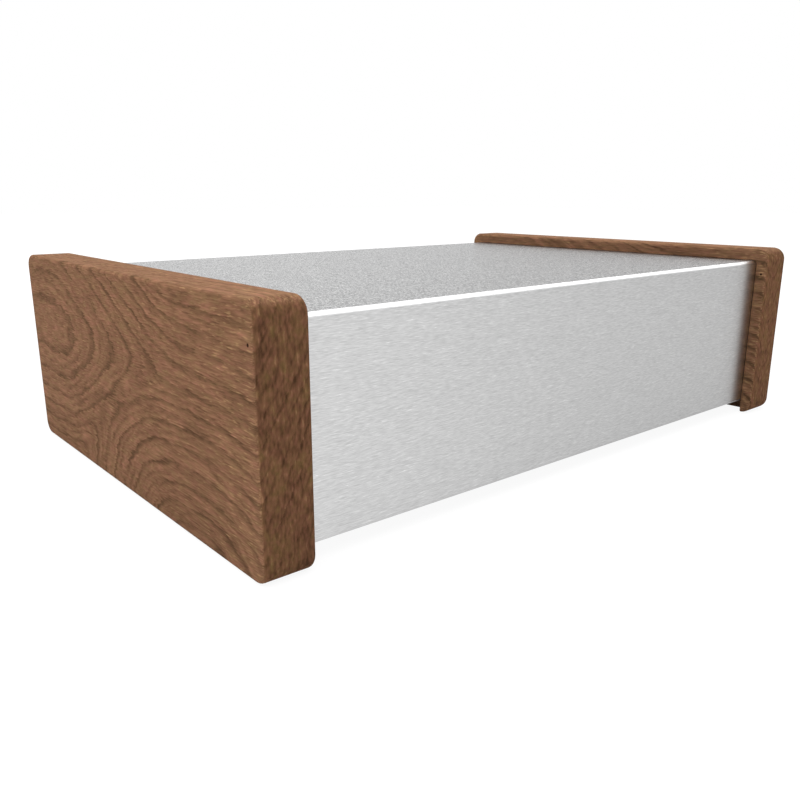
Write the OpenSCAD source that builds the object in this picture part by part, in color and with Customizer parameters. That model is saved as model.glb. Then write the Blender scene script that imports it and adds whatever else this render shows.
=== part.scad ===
// Aluminium electronics chassis held between two solid hardwood end cheeks.
//
// One sheet of aluminium is folded into an open box: top, front, rear and end walls, with corner
// tabs that lap behind the end walls and flanges that turn in along the bottom. A flat plate
// closes the bottom. Each end of the box sits in a rebate that is routed into its cheek and open
// at the bottom, so the plate can be unscrewed from below.
// Millimetres. X runs along the width, the front faces -Y, and the cheeks stand on Z = 0.

/* [Folded chassis] */
// Width of the folded box, over its end walls
chassis_w = 282; // [200:1:420]
// Depth of the folded box, front face to rear face
chassis_d = 188.6; // [130:0.2:300]
// Height of the folded box, flange underside to top face
chassis_h = 71; // [50:0.5:120]
// Thickness of the chassis sheet
sheet_t = 1.5; // [1:0.1:2]
// Inside radius of every bend
bend_in_r = 0.5; // [0.3:0.1:2]
// Gap that is cut between neighbouring folds at the corners
fold_relief = 1; // [0.5:0.1:2]
// Gap between a corner tab and the end wall that it laps behind
lap_gap = 0.1; // [0.05:0.05:0.3]

/* [Bottom plate] */
// Thickness of the bottom plate
plate_t = 1.5; // [1:0.1:2]
// Distance of the plate's edge inside the chassis outline
plate_inset = 4.5; // [3:0.1:8]
// Corner radius of the plate
plate_corner_r = 4; // [1:0.5:8]
// Distance of the screw centres from the plate's edge
plate_screw_edge = 7; // [3.5:0.1:10]
// Screws along each long side, corner screws included
plate_screws_long = 4; // [2:1:6]
// Screws along each short side, between the corner screws
plate_screws_short = 1; // [0:1:3]

/* [Plate screws and clinch nuts] */
// Thread diameter of the plate screws
plate_screw_d = 3; // [2.5:0.5:4]
// How far the plate screws come through their nuts
plate_screw_past_nut = 1; // [0.5:0.1:3]
// Head diameter of the plate screws
plate_head_d = 5.6; // [5:0.1:7]
// Head height of the plate screws
plate_head_h = 2.4; // [1.5:0.1:2.8]
// Body diameter of the clinch nuts
nut_d = 6.4; // [5.6:0.1:8]
// Height of the clinch nut bodies above the flange
nut_h = 2; // [1:0.1:3]
// Wall of the spigot that is pressed into the flange
nut_spigot_wall = 0.7; // [0.5:0.1:1]
// Width of flange left beside each nut
nut_margin = 2.4; // [1:0.1:6]

/* [Wood cheeks] */
// Thickness of each cheek
cheek_t = 18; // [16:0.5:25]
// How far the cheeks stand beyond the chassis at the front, rear, top and bottom
reveal = 5.7; // [4.5:0.1:10]
// Depth of the rebate that takes the end of the chassis
rebate_depth = 9; // [5:0.5:10]
// Radius of the cheek's corners, seen from the side
cheek_corner_r = 5.7; // [4:0.1:14]
// Radius of the cheek's rounded edges
cheek_edge_r = 1.6; // [0.5:0.1:3]
// Gap between the rebate's walls and the chassis
rebate_gap = 0.15; // [0.05:0.05:0.4]

/* [Cheek screws] */
// Shank diameter of the cheek screws
cheek_screw_d = 3.5; // [3:0.5:4]
// Length of the cheek screws' pointed tip
cheek_screw_tip = 2.5; // [1.5:0.1:4]
// Diameter of the blunted point
cheek_point_d = 0.4; // [0.2:0.1:0.8]
// Wood left between the pilot holes and the cheek's outer face
pilot_wall = 2.1; // [1.5:0.1:4]
// Head diameter of the cheek screws
cheek_head_d = 7; // [6:0.1:8]
// Head height of the cheek screws
cheek_head_h = 2.3; // [1.5:0.1:3]
// Distance of the screws from the front and rear faces
cheek_screw_in = 11; // [9:0.5:20]
// Distance of the screws from the top and bottom of the chassis
cheek_screw_up = 18; // [12:0.5:22]
// Width of corner tab left beside each screw head
tab_margin = 3; // [1:0.5:8]

/* [Screw heads and fits] */
// Height of the straight side of the screw heads, under their dome
head_rim_h = 0.9; // [0.5:0.1:1.2]
// Length of the cross recess in the screw heads
recess_l = 3.4; // [2.5:0.1:4.5]
// Width of the cross recess
recess_w = 0.9; // [0.6:0.1:1.2]
// Depth of the cross recess
recess_depth = 1.1; // [0.6:0.1:1.3]
// How much wider a screw's clearance hole is than its shank
hole_clear = 0.4; // [0.2:0.1:0.8]
// How much wider a threaded hole is than the shank in it
thread_clear = 0.1; // [0.04:0.02:0.2]
// Depth of the blind pilot hole past the screw's tip
pilot_past_tip = 0.5; // [0.2:0.1:1]

/* [Hidden] */
$fn = 64;

aluminium = [0.80, 0.80, 0.81];
plate_grey = [0.72, 0.73, 0.74];
zinc = [0.66, 0.67, 0.69];
walnut = [0.50, 0.35, 0.26];

// Overlap of the cutting solids past the faces that they cut
cut = 1;

// Folded box: levels, bend radius and how far each wall runs before its corner
chassis_z = reveal;
chassis_top = chassis_z + chassis_h;
chassis_mid = chassis_z + chassis_h / 2;
bend_out_r = bend_in_r + sheet_t;
tab_x = chassis_w / 2 - sheet_t - lap_gap;
tab_inner_x = tab_x - sheet_t;
long_wall_half = tab_x - bend_out_r;
end_wall_half = chassis_d / 2 - bend_out_r;
tab_w = cheek_screw_in + cheek_head_d / 2 + tab_margin;
tab_bottom = chassis_z + bend_out_r;
tab_top = chassis_top - bend_out_r - fold_relief;

// Bottom flanges: wide enough for the nuts above the plate's screws
screw_inset = plate_inset + plate_screw_edge;
flange_w = screw_inset + nut_d / 2 + nut_margin;
end_flange_half = chassis_d / 2 - flange_w - fold_relief;

// Bottom plate and the places of its screws
plate_w = chassis_w - 2 * plate_inset;
plate_d = chassis_d - 2 * plate_inset;
plate_z = chassis_z - plate_t;
screw_x = chassis_w / 2 - screw_inset;
screw_y = chassis_d / 2 - screw_inset;
long_step = 2 * screw_x / (plate_screws_long - 1);
short_step = 2 * screw_y / (plate_screws_short + 1);
plate_screw_places = concat(
    [for (side = [-1, 1], i = [0 : plate_screws_long - 1]) [i * long_step - screw_x, side * screw_y]],
    [for (side = [-1, 1], i = [1 : 1 : plate_screws_short]) [side * screw_x, i * short_step - screw_y]]
);
plate_screw_len = plate_t + sheet_t + nut_h + plate_screw_past_nut;
nut_spigot_d = plate_screw_d + thread_clear + 2 * nut_spigot_wall;

// Cheeks and the places of their screws, as Y and Z
cheek_d = chassis_d + 2 * reveal;
cheek_h = chassis_h + 2 * reveal;
cheek_inner_x = chassis_w / 2 - rebate_depth;
rebate_r = bend_out_r + rebate_gap;
rebate_top = chassis_top + rebate_gap;
cheek_screw_places = [
    for (side = [-1, 1], level = [chassis_z + cheek_screw_up, chassis_top - cheek_screw_up])
        [side * (chassis_d / 2 - cheek_screw_in), level]
];
pilot_depth = cheek_inner_x + cheek_t - pilot_wall - tab_inner_x;
cheek_screw_len = pilot_depth - pilot_past_tip;

// Extrudes a flat Y-Z profile along X, centred
module along_x(length) {
    rotate([90, 0, 90])
        linear_extrude(length, center = true)
            children();
}

// Extrudes a flat X-Z profile along Y, centred
module along_y(length) {
    rotate([90, 0, 0])
        linear_extrude(length, center = true)
            children();
}

// Rectangle with true round corners, centred
module rounded_rect(width, height, r) {
    square([width - 2 * r, height], center = true);
    square([width, height - 2 * r], center = true);
    for (x = [-1, 1], y = [-1, 1])
        translate([x * (width / 2 - r), y * (height / 2 - r)])
            circle(r);
}

// Closed loop of bent sheet, centred
module sheet_loop(width, height) {
    difference() {
        rounded_rect(width, height, bend_out_r);
        rounded_rect(width - 2 * sheet_t, height - 2 * sheet_t, bend_in_r);
    }
}

// Section of a folded wall pair: top, two walls and the flanges that turn in at the bottom
module flanged_section(width) {
    translate([0, chassis_mid])
        difference() {
            sheet_loop(width, chassis_h);
            translate([0, -chassis_h / 2])
                square([width - 2 * flange_w, 2 * (sheet_t + bend_in_r)], center = true);
        }
}

// The same section, cut off above the bottom bends
module plain_section(width) {
    intersection() {
        flanged_section(width);
        translate([-width / 2 - cut, tab_bottom])
            square([width + 2 * cut, chassis_h]);
    }
}

// Tabs that turn back from the ends of the front and rear walls, behind the end walls
module corner_tabs() {
    translate([0, 0, tab_bottom])
        linear_extrude(tab_top - tab_bottom)
            intersection() {
                sheet_loop(2 * tab_x, chassis_d);
                for (flip_x = [0, 1], flip_y = [0, 1])
                    mirror([flip_x, 0])
                        mirror([0, flip_y])
                            translate([long_wall_half - cut, chassis_d / 2 - tab_w])
                                square([tab_x, tab_w + cut]);
            }
}

// Places children on the screw axes of one cheek, pointing outwards from the tab's inner face
module at_cheek_screws(side) {
    for (place = cheek_screw_places)
        translate([side * tab_inner_x, place.x, place.y])
            rotate([0, side * 90, 0])
                children();
}

// Domed screw head below Z = 0, with a cross recess
module pan_head(head_d, head_h) {
    dome_h = head_h - head_rim_h;
    dome_r = (pow(head_d / 2, 2) + pow(dome_h, 2)) / (2 * dome_h);
    difference() {
        intersection() {
            translate([0, 0, -head_h])
                cylinder(h = head_h, d = head_d);
            translate([0, 0, dome_r - head_h])
                sphere(dome_r, $fn = 128);
        }
        for (turn = [0, 90])
            rotate(turn)
                translate([0, 0, -head_h])
                    cube([recess_l, recess_w, 2 * recess_depth], center = true);
    }
}

// Slab with round corners in the Y-Z plane and all its edges rounded over, X from 0 to its thickness
module rounded_slab(thickness, depth, height, corner_r, edge_r) {
    straight_d = depth - 2 * corner_r;
    straight_h = height - 2 * corner_r;
    translate([thickness / 2, 0, 0]) {
        along_y(straight_d)
            rounded_rect(thickness, height, edge_r);
        linear_extrude(straight_h, center = true)
            rounded_rect(thickness, depth, edge_r);
        for (flip_y = [0, 1], flip_z = [0, 1])
            mirror([0, flip_y, 0])
                mirror([0, 0, flip_z])
                    translate([0, straight_d / 2, straight_h / 2])
                        rotate([0, 90, 0])
                            rotate(90)
                                rotate_extrude(angle = 90)
                                    slab_edge(thickness, corner_r, edge_r);
    }
}

// Half section of a slab's round corner, for turning about the corner's axis
module slab_edge(thickness, corner_r, edge_r) {
    intersection() {
        rounded_rect(2 * corner_r, thickness, edge_r);
        translate([0, -thickness / 2])
            square([corner_r, thickness]);
    }
}

// Rebate for the end of the chassis, open at the bottom and the inner face
module rebate_cut() {
    height = rebate_top + 2 * rebate_r;
    translate([(cheek_inner_x + chassis_w / 2 - cut) / 2, 0, rebate_top - height / 2])
        along_x(rebate_depth + cut)
            rounded_rect(chassis_d + 2 * rebate_gap, height, rebate_r);
}

// Cheek on the +X side
module cheek() {
    color(walnut)
        difference() {
            translate([cheek_inner_x, 0, cheek_h / 2])
                rounded_slab(cheek_t, cheek_d, cheek_h, cheek_corner_r, cheek_edge_r);
            rebate_cut();
            at_cheek_screws(1)
                cylinder(h = pilot_depth, d = cheek_screw_d + thread_clear);
        }
}

// Pointed screws that hold one cheek
module cheek_screws(side) {
    color(zinc)
        at_cheek_screws(side) {
            pan_head(cheek_head_d, cheek_head_h);
            cylinder(h = cheek_screw_len - cheek_screw_tip, d = cheek_screw_d);
            translate([0, 0, cheek_screw_len - cheek_screw_tip])
                cylinder(h = cheek_screw_tip, d1 = cheek_screw_d, d2 = cheek_point_d);
        }
}

module chassis() {
    color(aluminium)
        difference() {
            union() {
                along_x(2 * long_wall_half)
                    flanged_section(chassis_d);
                along_y(2 * end_wall_half)
                    plain_section(chassis_w);
                along_y(2 * end_flange_half)
                    flanged_section(chassis_w);
                corner_tabs();
            }
            for (place = plate_screw_places)
                translate([place.x, place.y, chassis_z - cut])
                    cylinder(h = sheet_t + 2 * cut, d = nut_spigot_d);
            for (side = [-1, 1])
                at_cheek_screws(side)
                    translate([0, 0, -cut])
                        cylinder(h = 2 * sheet_t + lap_gap + 2 * cut, d = cheek_screw_d + hole_clear);
        }
}

module bottom_plate() {
    color(plate_grey)
        translate([0, 0, plate_z])
            linear_extrude(plate_t)
                difference() {
                    rounded_rect(plate_w, plate_d, plate_corner_r);
                    for (place = plate_screw_places)
                        translate(place)
                            circle(d = plate_screw_d + hole_clear);
                }
}

module left_cheek() {
    mirror([1, 0, 0])
        cheek();
}

module right_cheek() {
    cheek();
}

module plate_screws() {
    color(zinc)
        for (place = plate_screw_places)
            translate([place.x, place.y, plate_z]) {
                pan_head(plate_head_d, plate_head_h);
                cylinder(h = plate_screw_len, d = plate_screw_d);
            }
}

module clinch_nuts() {
    color(zinc)
        for (place = plate_screw_places)
            translate([place.x, place.y, chassis_z])
                difference() {
                    union() {
                        cylinder(h = sheet_t, d = nut_spigot_d);
                        translate([0, 0, sheet_t])
                            cylinder(h = nut_h, d = nut_d);
                    }
                    translate([0, 0, -cut])
                        cylinder(h = sheet_t + nut_h + 2 * cut, d = plate_screw_d + thread_clear);
                }
}

module left_cheek_screws() {
    cheek_screws(-1);
}

module right_cheek_screws() {
    cheek_screws(1);
}

chassis();
bottom_plate();
left_cheek();
right_cheek();
plate_screws();
clinch_nuts();
left_cheek_screws();
right_cheek_screws();
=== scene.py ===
# %% [markdown]
# # An aluminium electronics chassis between two wood cheeks
#
# The object is a folded aluminium case, 300 mm wide over its ends, held between two slabs of
# dark brown hardwood. Its solids come from CAD and stay as they are: every fold, rounding and
# screw already has its true shape there. What is left for this script is what the eye reads as
# material: the figure of the wood, the brushing of the metal, the light and the view.
#
# Lengths are in millimetres, as on a workshop drawing. Names that end in _M are in metres, which
# is Blender's own unit.

import math

import bmesh
import bpy
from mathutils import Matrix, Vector

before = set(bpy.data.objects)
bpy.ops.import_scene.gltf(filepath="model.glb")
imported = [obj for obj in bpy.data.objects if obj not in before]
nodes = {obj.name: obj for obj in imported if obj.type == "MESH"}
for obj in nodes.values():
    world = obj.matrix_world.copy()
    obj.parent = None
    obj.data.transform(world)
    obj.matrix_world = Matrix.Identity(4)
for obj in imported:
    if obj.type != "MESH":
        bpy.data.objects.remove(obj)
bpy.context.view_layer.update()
print("loaded", len(nodes), "nodes:", ", ".join(sorted(nodes)))

# %% [markdown]
# ## The camera
#
# The view is a close one, from the left and a little above. Its place and lens were worked out
# from the straight edges of the case: lines that run along the width meet in one point of the
# picture, lines that run along the depth in another, and the two points fix the direction and
# the angle of view. A long lens further off would flatten the strong taper of the cheeks, so
# the camera stands as near as the picture says.

# %% Camera
CAMERA_PLACE_M = (-0.2483, -0.27654, 0.10921)
CAMERA_TILT_DEG = 75
CAMERA_TURN_DEG = -40
LENS_MM = 34.96
SENSOR_MM = 36

scene = bpy.context.scene
scene.view_settings.view_transform = "Standard"

camera_data = bpy.data.cameras.new("view_from_left")
camera_data.lens = LENS_MM
camera_data.sensor_width = SENSOR_MM
camera = bpy.data.objects.new("view_from_left", camera_data)
camera.location = CAMERA_PLACE_M
camera.rotation_euler = (math.radians(CAMERA_TILT_DEG), 0, math.radians(CAMERA_TURN_DEG))
scene.collection.objects.link(camera)
scene.camera = camera
print("camera looks down by", 90 - CAMERA_TILT_DEG, "degrees")

# %% [markdown]
# ## Writing shaders as sums
#
# A finish such as wood needs dozens of small nodes. Wired by hand they are hard to read, so two
# small classes let Python do the wiring. A Wire is one output socket, and a sum with it, such as
# `1 - mask`, adds the Math node for it. A Board is the node tree of one finish, and its method
# `add` makes any other node: settings first, then the values or links of its sockets.

# %% Wire
class Wire:
    """An output socket that takes part in sums. Each sum adds a Math node."""

    def __init__(self, board, socket):
        self.board = board
        self.socket = socket

    def also(self, output):
        """Another output of the same node."""
        return Wire(self.board, self.socket.node.outputs[output])

    def __add__(self, other):
        return self.board.maths("ADD", self, other)

    def __radd__(self, other):
        return self.board.maths("ADD", other, self)

    def __sub__(self, other):
        return self.board.maths("SUBTRACT", self, other)

    def __rsub__(self, other):
        return self.board.maths("SUBTRACT", other, self)

    def __mul__(self, other):
        return self.board.maths("MULTIPLY", self, other)

    def __rmul__(self, other):
        return self.board.maths("MULTIPLY", other, self)

    def __truediv__(self, other):
        return self.board.maths("DIVIDE", self, other)

    def __rtruediv__(self, other):
        return self.board.maths("DIVIDE", other, self)


print("sockets can be added, subtracted, multiplied and divided")


# %% Board
class Board:
    """The node tree of one finish."""

    def __init__(self, tree):
        tree.nodes.clear()
        self.tree = tree

    def add(self, kind, settings=None, sockets=None, output=0):
        """Adds a node, and returns the named or numbered output as a Wire."""
        node = self.tree.nodes.new("ShaderNode" + kind)
        for name, value in (settings or {}).items():
            setattr(node, name, value)
        for key, value in (sockets or {}).items():
            if isinstance(value, Wire):
                self.tree.links.new(value.socket, node.inputs[key])
            else:
                node.inputs[key].default_value = value
        return Wire(self, node.outputs[output] if node.outputs else None)

    def maths(self, operation, *values):
        """Adds a Math node, with the values in the order of its sockets."""
        return self.add("Math", {"operation": operation}, dict(enumerate(values)))


def new_finish(name):
    """An empty material and the board to wire it on."""
    material = bpy.data.materials.new(name)
    material.use_nodes = True
    return material, Board(material.node_tree)


print("finishes are wired on boards")

# %% [markdown]
# ## Three small tools
#
# Nearly every step below asks for one of three things: a soft climb from 0 to 1, one part of a
# direction, or a colour between two others. The climb is a Map Range node and the colour a Mix
# node, because a Math node would turn a colour grey.

# %% Climb, parts and colour
BLACK = (0, 0, 0, 1)
WHITE = (1, 1, 1, 1)
MIX_FACTOR, MIX_A, MIX_B, MIX_RESULT = 0, 6, 7, 2


def rise(board, value, start, end):
    """0 at start, 1 at end, and a smooth climb between them."""
    sockets = {"Value": value, "From Min": start, "From Max": end}
    return board.add("MapRange", {"interpolation_type": "SMOOTHSTEP"}, sockets)


def split(board, vector):
    """The three parts of a vector."""
    x = board.add("SeparateXYZ", sockets={0: vector}, output="X")
    return x, x.also("Y"), x.also("Z")


def tint(board, share, below, above):
    """A colour between two others."""
    sockets = {MIX_FACTOR: share, MIX_A: below, MIX_B: above}
    return board.add("Mix", {"data_type": "RGBA"}, sockets, MIX_RESULT)


print("a Mix node takes its colours at sockets", MIX_A, "and", MIX_B)

# %% [markdown]
# ## The studio
#
# The case stands on a plain white floor in front of white. Lighting the floor until it clips
# would also burn out the metal, so the white is not made with more light. The Light Path node
# tells what kind of ray is asking: the camera, and the reflections in the metal, see a floor and
# a world that give off white of strength 1, while the rays that light the case see an ordinary
# pale floor under a soft sky. The floor keeps a share of plain diffuse shading, so the case still
# leaves a faint shadow where it stands.
#
# Metal that mirrors nothing but even white looks like paper. The walls of a real studio are
# never lit alike, so the white that the metal mirrors dims towards the right, and turns greyer
# overhead. The front of the case then falls off from left to right, as brushed metal does. In
# that front the floor fans out from the camera's mirror image, so the dimming of the floor is
# measured from a fixed point there.

# %% What a ray finds
DIM_FROM, DIM_TO = 0.55, 1.0


def heading(board, vector):
    """0 for a direction that turns little to the right, seen from above, and 1 for full right."""
    x, y, _ = split(board, vector)
    rightward = x / board.maths("SQRT", x * x + y * y)
    sockets = {"Value": rightward, "From Min": DIM_FROM, "From Max": DIM_TO}
    return board.add("MapRange", sockets=sockets)


def seen_white(board, mirrored):
    """How white a ray finds the studio: 1 from the camera or through glass, the value mirrored in
    a reflection, and 0 for the rays that light the case."""
    path = board.add("LightPath", output="Is Camera Ray")
    direct = board.maths("MAXIMUM", path, path.also("Is Transmission Ray"))
    return board.maths("MAXIMUM", direct, path.also("Is Glossy Ray") * mirrored)


print("mirrored white starts to dim", round(math.degrees(math.asin(DIM_FROM))), "degrees to the right")

# %% Floor finish
FLOOR_PALE = (0.80, 0.80, 0.80, 1)
FLOOR_SHADED = (0.10, 0.10, 0.10, 1)
FLOOR_DIM_SHARE = 0.42
FAN_PLACE_M = (-0.248, 0.088, 0)
# GLOW_NEAR is below GLOW_FAR: painted shade in a pool round the case.
GLOW_NEAR, GLOW_FAR = 0.92, 1.0
GLOW_NEAR_M, GLOW_FAR_M = 0.20, 0.75

floor_finish, board = new_finish("white_floor")
floor_place = board.add("TexCoord", output="Object")
from_fan = board.add("VectorMath", {"operation": "SUBTRACT"}, {0: floor_place, 1: FAN_PLACE_M})
white = seen_white(board, 1 - FLOOR_DIM_SHARE * heading(board, from_fan))
# Near the case the glow is painted a little lower, a painted pool of shade that lets the diffuse share
# show the case's shadow.
distance = board.add("VectorMath", {"operation": "LENGTH"}, {0: floor_place}, "Value")
far = rise(board, distance, GLOW_NEAR_M, GLOW_FAR_M)
brightness = GLOW_NEAR + (GLOW_FAR - GLOW_NEAR) * far
glow = board.add("Emission", sockets={"Color": tint(board, white * brightness, BLACK, WHITE)})
shaded = board.add("BsdfDiffuse", sockets={"Color": FLOOR_SHADED})
pale = board.add("BsdfDiffuse", sockets={"Color": FLOOR_PALE})
white_part = board.add("AddShader", sockets={0: shaded, 1: glow})
seen = board.maths("GREATER_THAN", white, 0)
mixed = board.add("MixShader", sockets={0: seen, 1: pale, 2: white_part})
board.add("OutputMaterial", sockets={"Surface": mixed})
print("floor finish has", len(board.tree.nodes), "nodes")

# %% Floor
FLOOR_HALF_M = 4.0

floor_mesh = bpy.data.meshes.new("studio_floor")
shape = bmesh.new()
bmesh.ops.create_grid(shape, x_segments=1, y_segments=1, size=FLOOR_HALF_M)
shape.to_mesh(floor_mesh)
shape.free()
floor_mesh.materials.append(floor_finish)
floor = bpy.data.objects.new("studio_floor", floor_mesh)
scene.collection.objects.link(floor)
print("floor is", 2 * FLOOR_HALF_M, "m across")

# %% World
SKY_STRENGTH = 0.20
WORLD_DIM_SHARE = 0.33
GREY_SHARE = 0.25
GREY_FROM, GREY_TO = 0.30, 0.85

world = bpy.data.worlds.new("white_studio")
world.use_nodes = True
scene.world = world
board = Board(world.node_tree)
direction = board.add("TexCoord", output="Generated")
direction_z = split(board, direction)[2]
overhead = rise(board, direction_z, GREY_FROM, GREY_TO)
mirrored = (1 - WORLD_DIM_SHARE * heading(board, direction)) * (1 - GREY_SHARE * overhead)
strength = board.maths("MAXIMUM", seen_white(board, mirrored), SKY_STRENGTH)
sky = board.add("Background", sockets={"Color": tint(board, strength, BLACK, WHITE)})
board.add("OutputWorld", sockets={"Surface": sky})
print("sky lights the case with strength", SKY_STRENGTH)

# %% [markdown]
# ## Lamps
#
# Five soft boxes shape the case, and each has one task. Two of them light surfaces: a wide one
# overhead makes the tops of the cheeks the brightest wood, and a small one on the left lifts the
# outer face of the near cheek above its front edge, so that the corner reads. The other three
# only show in the metal. They hang high on the right, where the rounded front bend mirrors them
# to the camera, and draw the white line along it from end to end. One lamp for both tasks would
# burn out the top or leave the line grey.

# %% Soft boxes
TARGET_M = Vector((0, 0, 0.04))
LIGHTS, SHOWS = True, False


def soft_box(name, place_m, size_m, power_w, lights):
    """A square lamp that faces the case. It either lights the surfaces or shows in the metal."""
    data = bpy.data.lights.new(name, "AREA")
    data.shape = "SQUARE"
    data.size = size_m
    data.energy = power_w
    lamp = bpy.data.objects.new(name, data)
    lamp.location = place_m
    aim = TARGET_M - lamp.location
    lamp.rotation_euler = aim.to_track_quat("-Z", "Y").to_euler()
    lamp.visible_camera = False
    lamp.visible_diffuse = lights
    lamp.visible_glossy = not lights
    scene.collection.objects.link(lamp)
    print(name, power_w, "W at", place_m)


soft_box("overhead_box", (-0.05, 0.10, 1.20), 2.6, 54.0, LIGHTS)
soft_box("left_box", (-1.25, 0.10, 0.45), 0.8, 2.0, LIGHTS)
soft_box("near_line_box", (0.75, -0.15, 1.25), 1.4, 7.4, SHOWS)
soft_box("far_line_box", (2.05, -0.20, 1.15), 1.4, 6.2, SHOWS)
soft_box("front_line_box", (1.35, -1.75, 1.25), 0.9, 3.1, SHOWS)

# %% [markdown]
# ## Solid patterns
#
# All patterns are solid: they read the place of a point in the object, so a pattern runs through
# a piece and comes out on every face, as growth rings do. `cloud` is noise whose lumps have a
# size along each axis. Long along one axis and thin along the others, it becomes a fibre or a
# brush stroke. Colours are written as they look on a screen, which is how a maker picks them.

# %% Places, noise and screen colours
MM_PER_M = 1000.0
SCREEN_MOST, SCREEN_OFFSET, SCREEN_POWER = 255, 0.055, 2.4
NOISE_MIDDLE = 0.5


def screen_colour(red, green, blue):
    """A colour given as it looks on a screen, from 0 to 255, as the light that Blender wants."""
    shares = [value / SCREEN_MOST for value in (red, green, blue)]
    linear = [((s + SCREEN_OFFSET) / (1 + SCREEN_OFFSET)) ** SCREEN_POWER for s in shares]
    return (*linear, 1)


def place_in_mm(board):
    """The point's own place in the object, in millimetres."""
    point = board.add("TexCoord", output="Object")
    return board.add("VectorMath", {"operation": "SCALE"}, {0: point, "Scale": MM_PER_M})


def face_direction(board):
    """The three parts of the direction that a face looks, in the object."""
    return split(board, board.add("TexCoord", output="Normal"))


def cloud(board, place, size, detail, seed):
    """Noise round zero, with lumps of that size along X, Y and Z."""
    scaled = board.add("VectorMath", {"operation": "DIVIDE"}, {0: place, 1: size})
    sockets = {"Vector": scaled, "W": seed, "Scale": 1.0, "Detail": detail}
    return board.add("TexNoise", {"noise_dimensions": "4D"}, sockets) - NOISE_MIDDLE


print("light grey is", [round(c, 3) for c in screen_colour(200, 200, 200)[:3]])

# %% [markdown]
# ## The figure of the wood
#
# A plank sawn near the outside of a log shows its growth rings as nested arches round each place
# where the saw ran closest to the heart. The near cheek has two such places. Behind the middle a
# tongue of rings points forward, and low down at the front other rings arch over a hill. The
# lines between them run up over the hill and on to the front edge almost straight.
#
# Painted lines would stop at the edges, so the figure is a height map whose whole numbers are
# the growth lines. One map climbs forward from the tongue, a second climbs outwards from the
# hill, and a smooth minimum joins them as two valleys join. The rings also bend through the
# thickness of the board, round the side where the heart of the log was, so they come out on the
# sawn ends and the narrow top as well.

# %% Tongue and hill
TONGUE_TIP_Y, TONGUE_Z = 41.0, 54.0
TONGUE_BLUNT, TONGUE_SWEEP = 9.5, 2.4
TONGUE_LEVEL_Y, TONGUE_LEVEL_BLEND = 56.0, 24.0
TONGUE_SPACING, TONGUE_CROWDING = 22.5, 75.0
HILL_Y, HILL_Z = -60.0, -15.0
HILL_STRETCH, HILL_SQUARE = 1.46, 2.5
HILL_TOP, HILL_SPACING = 39.5, 6.6


def tongue_height(board, y, z):
    """Rings counted forward from the innermost arch. Far to the rear the lines run level."""
    off_axis = z - TONGUE_Z
    blunted = board.maths("SQRT", off_axis * off_axis + TONGUE_BLUNT**2) - TONGUE_BLUNT
    level_y = board.maths("SMOOTH_MIN", y, TONGUE_LEVEL_Y, TONGUE_LEVEL_BLEND)
    forward = TONGUE_TIP_Y - level_y + blunted * TONGUE_SWEEP
    crowded = forward / TONGUE_CROWDING
    return forward / TONGUE_SPACING + crowded * crowded


def hill_height(board, y, z):
    """Rings counted outwards from the top of the hill, whose arches are squarish ovals."""
    along = board.maths("ABSOLUTE", y - HILL_Y) / HILL_STRETCH
    total = board.maths("POWER", along, HILL_SQUARE) + board.maths("POWER", z - HILL_Z, HILL_SQUARE)
    reach = board.maths("POWER", total, 1 / HILL_SQUARE)
    return (reach - HILL_TOP) / HILL_SPACING


print("the tongue points forward from", TONGUE_TIP_Y, "mm behind the middle")

# %% Height map of the rings
VALLEY_BLEND = 2.5


def ring_height(board, place, heart_x, through):
    """How many growth rings lie below a point, in a cheek whose rings bend round heart_x."""
    x, y, z = split(board, place)
    tongue = tongue_height(board, y, z)
    hill = hill_height(board, y, z)
    off_heart = (x - heart_x) / through
    return board.maths("SMOOTH_MIN", tongue, hill, VALLEY_BLEND) - off_heart * off_heart


print("tongue and hill run into each other over", VALLEY_BLEND, "rings")

# %% [markdown]
# ## Fibres, pores and what follows the rings
#
# Seen close, the wood is made of fibres that run along the cheek, short dark pores that lie along
# them, and paler flecks. Over these lie slower changes: the tone drifts across the board, the hue
# swings between red and olive, and the growth lines wander. All of them are the same kind of
# noise, so one table gives each its lump size, its detail and its own seed.
#
# Three more follow the rings. Their X is counted in rings instead of millimetres, so that a pale
# layer or a bold line bends along with the figure.

# %% Noises of the wood
BOARD_NOISES = {
    "fibre": ((0.50, 7.0, 0.50), 2.0, 0),
    "drift": ((30.0, 70.0, 30.0), 2.0, 1),
    "wander": ((9.0, 22.0, 9.0), 3.0, 2),
    "pore": ((0.50, 4.0, 0.50), 1.0, 4),
    "fleck": ((0.6, 4.5, 0.6), 1.0, 5),
    "dash": ((1.0, 1.0, 3.2), 1.0, 6),
    "mottle": ((3.5, 3.5, 6.0), 2.0, 7),
    "fray": ((2.2, 12.0, 2.2), 2.0, 10),
    "hue": ((1.3, 6.0, 1.3), 3.0, 11),
}
RING_NOISES = {
    "bold": ((0.8, 16.0, 16.0), 2.0, 3),
    "layer": ((0.20, 16.0, 16.0), 3.0, 8),
    "vein": ((0.42, 22.0, 22.0), 1.0, 9),
}


def noises(board, place, table, seed):
    """Every noise of a table, by its name."""
    made = {}
    for name, (size, detail, own_seed) in table.items():
        made[name] = cloud(board, place, size, detail, seed + own_seed)
    return made


print("wood has", len(BOARD_NOISES) + len(RING_NOISES), "noises")

# %% [markdown]
# ## Growth lines
#
# A growth line is a row of pores. The tree lays them down in spring, right after the dense wood
# of the year before, so a line is soft towards one side and ends quickly on the other. Its edge
# is frayed along the fibres, which comes from adding fibre noise to the height map before the
# lines are drawn. Lines that were all alike would look printed, so some stretches are bold, and
# where they are faint a weaker line half-way between and hair-thin veins fill in.

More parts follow.
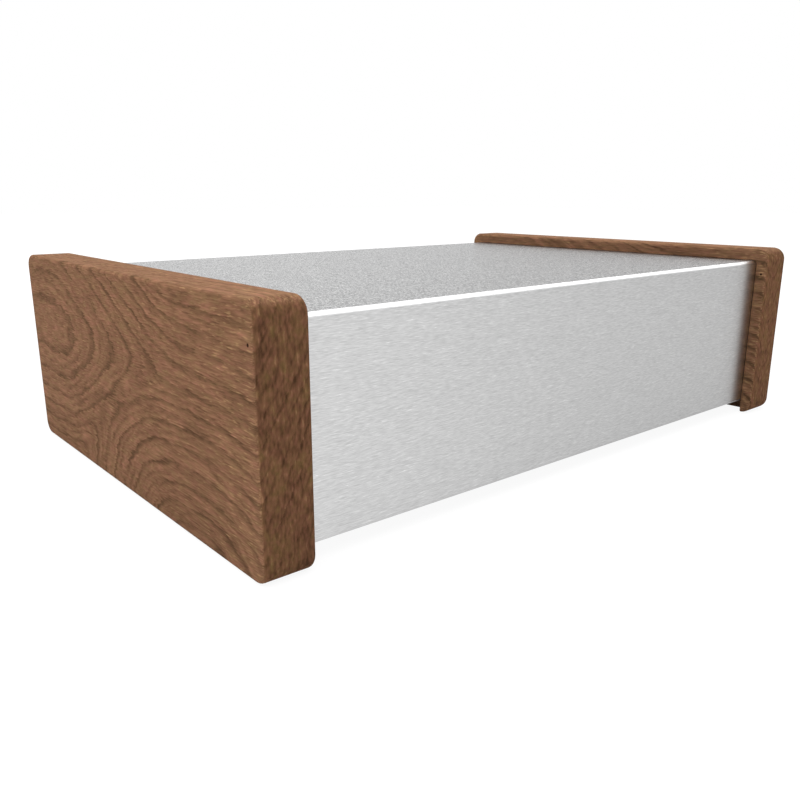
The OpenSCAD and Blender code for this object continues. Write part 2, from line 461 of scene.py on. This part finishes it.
# %% Growth lines
DRIFT_RINGS, WANDER_RINGS = 0.7, 0.5
FRAY_RINGS, FIBRE_RINGS = 0.45, 0.30
HALF_WAY = 0.5
LINE_EDGES = (0.62, 0.90, 0.91)
HALF_LINE_EDGES = (0.76, 0.93, 0.93)
BOLD_FROM, BOLD_TO = -0.22, 0.14
FAINTEST = 0.25
HALF_LINE_SHARE, VEIN_SHARE = 0.35, 0.35
VEIN_EDGE = 0.055


def frayed_height(board, place, heart_x, through, grain):
    """The height map, uneven as a tree grows and frayed along the fibres."""
    height = ring_height(board, place, heart_x, through)
    height = height + grain["drift"] * DRIFT_RINGS + grain["wander"] * WANDER_RINGS
    return height + grain["fray"] * FRAY_RINGS + grain["fibre"] * FIBRE_RINGS


def dark_line(board, height, edges):
    """A line below each whole number: it starts, is full, and fades until the number."""
    start, full, fade = edges
    ring = board.maths("FRACT", height)
    return rise(board, ring, start, full) * rise(board, ring, 1.0, fade)


def growth_lines(board, height, grain):
    """How dark the lines are at a point."""
    line = dark_line(board, height, LINE_EDGES)
    half_line = dark_line(board, height + HALF_WAY, HALF_LINE_EDGES)
    bold = rise(board, grain["bold"], BOLD_FROM, BOLD_TO)
    veins = rise(board, board.maths("ABSOLUTE", grain["vein"]), VEIN_EDGE, 0.0)
    lines = line * (FAINTEST + (1 - FAINTEST) * bold)
    return lines + half_line * HALF_LINE_SHARE * (1 - bold) + veins * VEIN_SHARE


print("a growth line fills the last", round(1 - LINE_EDGES[0], 2), "of a ring")

# %% [markdown]
# ## Long grain
#
# On the faces and the narrow edges the fibres lie in the surface. Their colour goes from a dark
# to a light brown, with red and olive mixed in the light one. Lines, pores and flecks are laid
# over it in that order, and the flecks crowd near the front. The narrow lips that stand past the
# front panel and look inwards have stronger lines across them, and a touch of painted shade
# makes them a little darker. The colours are mixed rather than multiplied, so that each of them
# can be picked by eye.

# %% Colour of long grain
WOOD_RED = screen_colour(168, 117, 95)
WOOD_OLIVE = screen_colour(150, 122, 85)
WOOD_DARK = screen_colour(98, 70, 52)
WOOD_LINE = screen_colour(82, 61, 43)
WOOD_PORE = screen_colour(58, 44, 31)
WOOD_FLECK = screen_colour(176, 142, 100)
FIBRE_TONE, DRIFT_TONE = 1.2, 0.4
RED_SHARE, RED_SWING = 0.56, 2.2
FLECK_FRONT_FROM_Y, FLECK_FRONT_TO_Y = -50.0, -98.0
FLECK_LESS_ON_LINE, FLECK_MORE_IN_FRONT = 0.09, 0.07
FLECK_FROM, FLECK_TO = 0.10, 0.28
LINE_COVER, PORE_COVER, FLECK_COVER = 0.58, 0.30, 0.50
# The lips get a little painted shade; their stronger lines are grain.
LIP_PAINTED_SHADE, LIP_LINE_COVER = 0.05, 0.45


def long_grain(board, y, lip, brightness, grain, lines, pores):
    """The colour where the fibres lie in the surface."""
    # The lip term in the tone is painted shade on the lips.
    tone = brightness - lip * LIP_PAINTED_SHADE + grain["fibre"] * FIBRE_TONE
    tone = tone + grain["layer"] + grain["drift"] * DRIFT_TONE
    light = tint(board, RED_SHARE + grain["hue"] * RED_SWING, WOOD_OLIVE, WOOD_RED)
    near_front = rise(board, y, FLECK_FRONT_FROM_Y, FLECK_FRONT_TO_Y)
    fleck = grain["fleck"] - lines * FLECK_LESS_ON_LINE + near_front * FLECK_MORE_IN_FRONT
    flecks = rise(board, fleck, FLECK_FROM, FLECK_TO)
    colour = tint(board, tone, WOOD_DARK, light)
    colour = tint(board, lines * (LINE_COVER + lip * LIP_LINE_COVER), colour, WOOD_LINE)
    colour = tint(board, pores * PORE_COVER, colour, WOOD_PORE)
    return tint(board, flecks * FLECK_COVER, colour, WOOD_FLECK)


print("flecks crowd in the front", round(FLECK_FRONT_FROM_Y - FLECK_FRONT_TO_Y), "mm")

# %% [markdown]
# ## Sawn ends and the pin hole
#
# On the front and rear faces the saw has cut the fibres across. Open fibres drink more oil, so
# these faces are darker, and they show short upright dashes instead of long lines. A small dark
# pin hole sits near the front edge of both sides. It is too small to be worth a hole in the mesh,
# so it is a dark round spot in the colour: painted shade where the hole would be.

# %% Colour of sawn ends and the pin hole
END_RED = screen_colour(150, 101, 81)
END_OLIVE = screen_colour(118, 93, 59)
END_DARK = screen_colour(70, 49, 33)
END_RED_SHARE, END_MOTTLE_RED, END_HUE_RED = 0.5, 1.6, 1.8
END_DASH_DARK, END_MOTTLE_DARK, END_LINE_DARK = 1.25, 0.95, 0.24
END_FLECK_FROM, END_FLECK_TO, END_FLECK_COVER = -0.12, -0.30, 0.25
PIN_Y, PIN_Z = -97.2, 70.3
PIN_OUTER, PIN_INNER = 0.77, 0.33


def sawn_grain(board, shade, grain, lines):
    """The colour where the fibres are cut across."""
    redness = END_RED_SHARE + grain["mottle"] * END_MOTTLE_RED + grain["hue"] * END_HUE_RED
    dark = shade + grain["dash"] * END_DASH_DARK + grain["mottle"] * END_MOTTLE_DARK
    flecks = rise(board, grain["dash"], END_FLECK_FROM, END_FLECK_TO)
    colour = tint(board, redness, END_OLIVE, END_RED)
    colour = tint(board, dark + lines * END_LINE_DARK, colour, END_DARK)
    return tint(board, flecks * END_FLECK_COVER, colour, WOOD_FLECK)


def pin_hole(board, y, z):
    """1 in the pin hole and 0 outside it."""
    across = y - PIN_Y
    up = z - PIN_Z
    distance = board.maths("SQRT", across * across + up * up)
    return rise(board, distance, PIN_OUTER, PIN_INNER)


print("pin hole is", round(PIN_OUTER + PIN_INNER, 1), "mm across")

# %% [markdown]
# ## Both cheeks
#
# The finish puts the grains together: the direction that a face looks decides between long grain
# and sawn end, and it also tells the lips from the outer faces. Oiled wood has next to no gloss,
# so the shine is almost off, and the pores are slightly sunk and rougher.
#
# The two cheeks come from different boards. Each has its own heart, seed and brightness, so the
# right one is no mirror image of the left. The right one is also set a little darker as painted
# shade for its inner face above the case.

# %% Wood of both cheeks
SAWN_FROM, SAWN_TO = 0.55, 0.85
INWARD_FROM, INWARD_TO = -0.5, -0.9
LIP_REAR_Y, LIP_FRONT_Y = -91.0, -94.5
PORE_MORE_ON_LINE, PORE_LESS_IN_LAYER = 0.13, 0.15
PORE_FROM, PORE_TO = 0.10, 0.22
# The colour of the pin hole is painted shade.
PIN_HOLE_PAINTED_SHADE = screen_colour(38, 27, 20)
FIBRE_RELIEF, PORE_RELIEF, LINE_RELIEF = 0.5, 0.6, 0.2
WOOD_BUMP, WOOD_BUMP_M = 0.25, 0.0002
WOOD_ROUGHNESS, PORE_ROUGHNESS, FIBRE_ROUGHNESS = 0.66, 0.15, 0.15
WOOD_GLOSS = 0.01


def wood_finish(name, heart_x, through, brightness, end_shade, seed):
    """Solid brown wood with its grain along Y."""
    material, board = new_finish(name)
    place = place_in_mm(board)
    x, y, z = split(board, place)
    face_x, face_y, _ = face_direction(board)
    sawn_end = rise(board, board.maths("ABSOLUTE", face_y), SAWN_FROM, SAWN_TO)
    # inward and lip find the lips beside the front panel, which get painted shade and stronger lines.
    inward = rise(board, face_x * board.maths("SIGN", x), INWARD_FROM, INWARD_TO)
    lip = inward * rise(board, y, LIP_REAR_Y, LIP_FRONT_Y)

    grain = noises(board, place, BOARD_NOISES, seed)
    height = frayed_height(board, place, heart_x, through, grain)
    ring_place = board.add("CombineXYZ", sockets={"X": height, "Y": y, "Z": z})
    grain.update(noises(board, ring_place, RING_NOISES, seed))
    lines = growth_lines(board, height, grain)
    pore = grain["pore"] + lines * PORE_MORE_ON_LINE - grain["layer"] * PORE_LESS_IN_LAYER
    pores = rise(board, pore, PORE_FROM, PORE_TO)

    side = long_grain(board, y, lip, brightness, grain, lines, pores)
    # The pin hole is a dark spot, painted shade where a hole would be.
    side = tint(board, pin_hole(board, y, z), side, PIN_HOLE_PAINTED_SHADE)
    colour = tint(board, sawn_end, side, sawn_grain(board, end_shade, grain, lines))
    relief = grain["fibre"] * FIBRE_RELIEF - pores * PORE_RELIEF - lines * LINE_RELIEF
    bump = board.add("Bump", sockets={
        "Strength": WOOD_BUMP,
        "Distance": WOOD_BUMP_M,
        "Height": relief,
    })
    surface = board.add("BsdfPrincipled", sockets={
        "Base Color": colour,
        "Roughness": WOOD_ROUGHNESS + pores * PORE_ROUGHNESS - grain["fibre"] * FIBRE_ROUGHNESS,
        "Specular IOR Level": WOOD_GLOSS,
        "Normal": bump,
    })
    board.add("OutputMaterial", sockets={"Surface": surface})
    print(name, "has", len(board.tree.nodes), "nodes")
    return material


left_wood = wood_finish(
    "left_cheek_wood", heart_x=-200.0, through=22.36, brightness=0.38, end_shade=0.50, seed=3.0)
# The right cheek's lower brightness is partly painted shade for its inner face.
right_wood = wood_finish(
    "right_cheek_wood", heart_x=138.65, through=6.553, brightness=0.345, end_shade=0.42, seed=23.0)

# %% [markdown]
# ## Brushed and satin aluminium
#
# The front of the case is brushed along its length: short, thin, pale strokes on an even grey.
# The palest strokes are painted white, as painted glints.
# The top is satin instead, a fine grain with white specks painted into the colour, painted glints
# that stand for its sparkle. The strokes are long thin noise along X, the grain is small noise,
# and the direction that the face looks decides between them. On the bend between them the colour
# is painted whiter, a painted highlight that widens the white line the lamps draw along it.
#
# Metal has no colour of its own besides what it mirrors, so the base colour stays a plain grey,
# and a moderate roughness blurs the mirrored cheek into a soft brown edge.

# %% Brushed colour and satin colour
BRUSHED_DARK = screen_colour(188, 188, 188)
BRUSHED_LIGHT = screen_colour(230, 230, 230)
SATIN_DARK = screen_colour(130, 130, 131)
SATIN_LIGHT = screen_colour(236, 236, 236)
STROKE_SIZE, STROKE_DETAIL, STROKE_SEED = (2.8, 0.15, 0.15), 2.0, 1.0
LONG_STROKE_SIZE, LONG_STROKE_DETAIL, LONG_STROKE_SEED = (14.0, 0.36, 0.36), 1.0, 2.0
SATIN_SIZE, SATIN_DETAIL, SATIN_SEED = (0.24, 0.8, 0.24), 1.0, 3.0
SPECK_SIZE, SPECK_DETAIL, SPECK_SEED = (0.23, 1.2, 0.23), 0.0, 4.0
LONG_STROKE_SHARE = 0.24
MIDDLE_GREY, STROKE_CONTRAST, SATIN_CONTRAST = 0.42, 1.9, 4.0
PAINTED_GLINT_FROM, PAINTED_GLINT_TO = 0.14, 0.32
SPECK_FROM, SPECK_TO = 0.13, 0.17

chassis_finish, board = new_finish("brushed_case_aluminium")
place = place_in_mm(board)
short_stroke = cloud(board, place, STROKE_SIZE, STROKE_DETAIL, STROKE_SEED)
long_stroke = cloud(board, place, LONG_STROKE_SIZE, LONG_STROKE_DETAIL, LONG_STROKE_SEED)
stroke = short_stroke + LONG_STROKE_SHARE * long_stroke
brushed = tint(board, MIDDLE_GREY + stroke * STROKE_CONTRAST, BRUSHED_DARK, BRUSHED_LIGHT)
# The brightest tail of the strokes is painted white: painted glints over the brushed grain.
stroke_painted_glint = rise(board, stroke, PAINTED_GLINT_FROM, PAINTED_GLINT_TO)
brushed = tint(board, stroke_painted_glint, brushed, WHITE)

satin = cloud(board, place, SATIN_SIZE, SATIN_DETAIL, SATIN_SEED)
grained = tint(board, MIDDLE_GREY + satin * SATIN_CONTRAST, SATIN_DARK, SATIN_LIGHT)
# The speck noise turns the colour white in small spots: painted glints for the sparkle of the satin.
painted_glint_speck = cloud(board, place, SPECK_SIZE, SPECK_DETAIL, SPECK_SEED)
grained = tint(board, rise(board, painted_glint_speck, SPECK_FROM, SPECK_TO), grained, WHITE)
print("strokes are about", STROKE_SIZE[0], "mm long")

# %% Chassis finish
SATIN_FACE_FROM, SATIN_FACE_TO = 0.80, 0.98
BEND_FRONT_FROM, BEND_FRONT_TO = 0.20, 0.70
BEND_TOP_FROM, BEND_TOP_TO = 0.99, 0.93
# The white given to the bend is a painted highlight.
BEND_PAINTED_HIGHLIGHT = 0.8
STROKE_RELIEF = 0.03
METAL_BUMP, METAL_BUMP_M = 1.0, 0.0002
METAL_ROUGHNESS, GRAIN_ROUGHNESS = 0.30, 0.10
METAL_EDGE_TINT = (0.88, 0.88, 0.88, 1)

face_z = face_direction(board)[2]
satin_share = rise(board, face_z, SATIN_FACE_FROM, SATIN_FACE_TO)
bend_front = rise(board, face_z, BEND_FRONT_FROM, BEND_FRONT_TO)
# This mask picks the rounded front bend, where a painted highlight goes.
bend = bend_front * rise(board, face_z, BEND_TOP_FROM, BEND_TOP_TO)
metal = tint(board, satin_share, brushed, grained)
# This white on the bend is a painted highlight.
metal = tint(board, bend * BEND_PAINTED_HIGHLIGHT, metal, WHITE)
brushed_part = stroke * (1 - satin_share)
satin_part = satin * satin_share
bump = board.add("Bump", sockets={
    "Strength": METAL_BUMP,
    "Distance": METAL_BUMP_M,
    "Height": brushed_part * STROKE_RELIEF + satin_part,
})
surface = board.add("BsdfPrincipled", sockets={
    "Base Color": metal,
    "Metallic": 1.0,
    "Roughness": METAL_ROUGHNESS - (brushed_part + satin_part) * GRAIN_ROUGHNESS,
    "Specular Tint": METAL_EDGE_TINT,
    "Normal": bump,
})
board.add("OutputMaterial", sockets={"Surface": surface})
print("case finish has", len(board.tree.nodes), "nodes")

# %% [markdown]
# ## The bottom plate
#
# Nobody sees the plate in use, so it is left as it comes from the rolling mill: faint lines along
# its length, and a cloudier and duller grey than the case. Very long thin noise gives the lines,
# and large round noise the clouds.

# %% Plate finish
MILL_DARK = screen_colour(150, 151, 153)
MILL_LIGHT = screen_colour(190, 191, 193)
ROLLED_SIZE, ROLLED_DETAIL, ROLLED_SEED = (40.0, 0.6, 0.6), 2.0, 5.0
CLOUDY_SIZE, CLOUDY_DETAIL, CLOUDY_SEED = (18.0, 18.0, 18.0), 3.0, 6.0
MILL_MIDDLE, ROLLED_TONE, CLOUDY_TONE = 0.5, 0.9, 0.8
MILL_BUMP, MILL_BUMP_M = 0.1, 0.00005
MILL_ROUGHNESS, CLOUDY_ROUGHNESS = 0.42, 0.15

plate_finish, board = new_finish("mill_plate_aluminium")
place = place_in_mm(board)
rolled = cloud(board, place, ROLLED_SIZE, ROLLED_DETAIL, ROLLED_SEED)
cloudy = cloud(board, place, CLOUDY_SIZE, CLOUDY_DETAIL, CLOUDY_SEED)
tone = MILL_MIDDLE + rolled * ROLLED_TONE + cloudy * CLOUDY_TONE
bump = board.add("Bump", sockets={
    "Strength": MILL_BUMP,
    "Distance": MILL_BUMP_M,
    "Height": rolled,
})
surface = board.add("BsdfPrincipled", sockets={
    "Base Color": tint(board, tone, MILL_DARK, MILL_LIGHT),
    "Metallic": 1.0,
    "Roughness": MILL_ROUGHNESS + cloudy * CLOUDY_ROUGHNESS,
    "Normal": bump,
})
board.add("OutputMaterial", sockets={"Surface": surface})
print("plate finish has", len(board.tree.nodes), "nodes")

# %% [markdown]
# ## Screws and clinch nuts
#
# Fasteners are steel with a bright zinc plating, a bluish grey that clouds over in small patches.
# The lathe leaves fine rings round them, which show as changes of gloss. At this size a bump
# would not be seen, so colour and roughness do the work.

# %% Zinc finish
ZINC_DARK = screen_colour(158, 162, 170)
ZINC_LIGHT = screen_colour(206, 210, 216)
PATCH_SIZE, PATCH_DETAIL, PATCH_SEED = (0.8, 0.8, 0.8), 3.0, 8.0
TURNED_SIZE, TURNED_DETAIL, TURNED_SEED = (2.0, 2.0, 0.15), 1.0, 9.0
ZINC_MIDDLE, PATCH_TONE = 0.5, 1.4
ZINC_ROUGHNESS, PATCH_ROUGHNESS, TURNED_ROUGHNESS = 0.30, 0.2, 0.1

zinc_finish, board = new_finish("zinc_plated_steel")
place = place_in_mm(board)
patches = cloud(board, place, PATCH_SIZE, PATCH_DETAIL, PATCH_SEED)
turned = cloud(board, place, TURNED_SIZE, TURNED_DETAIL, TURNED_SEED)
surface = board.add("BsdfPrincipled", sockets={
    "Base Color": tint(board, ZINC_MIDDLE + patches * PATCH_TONE, ZINC_DARK, ZINC_LIGHT),
    "Metallic": 1.0,
    "Roughness": ZINC_ROUGHNESS + patches * PATCH_ROUGHNESS + turned * TURNED_ROUGHNESS,
})
board.add("OutputMaterial", sockets={"Surface": surface})
print("zinc finish has", len(board.tree.nodes), "nodes")

# %% [markdown]
# ## Dress the nodes
#
# The CAD shapes already are what the real pieces are, so they stay, and none is replaced by a
# new mesh. Each one takes its finish in its own material slot.

# %% Finishes onto nodes
finishes = {
    "chassis": chassis_finish,
    "bottom_plate": plate_finish,
    "left_cheek": left_wood,
    "right_cheek": right_wood,
    "plate_screws": zinc_finish,
    "clinch_nuts": zinc_finish,
    "left_cheek_screws": zinc_finish,
    "right_cheek_screws": zinc_finish,
}
for name, finish in finishes.items():
    nodes[name].material_slots[0].material = finish
    print(name, "wears", finish.name)
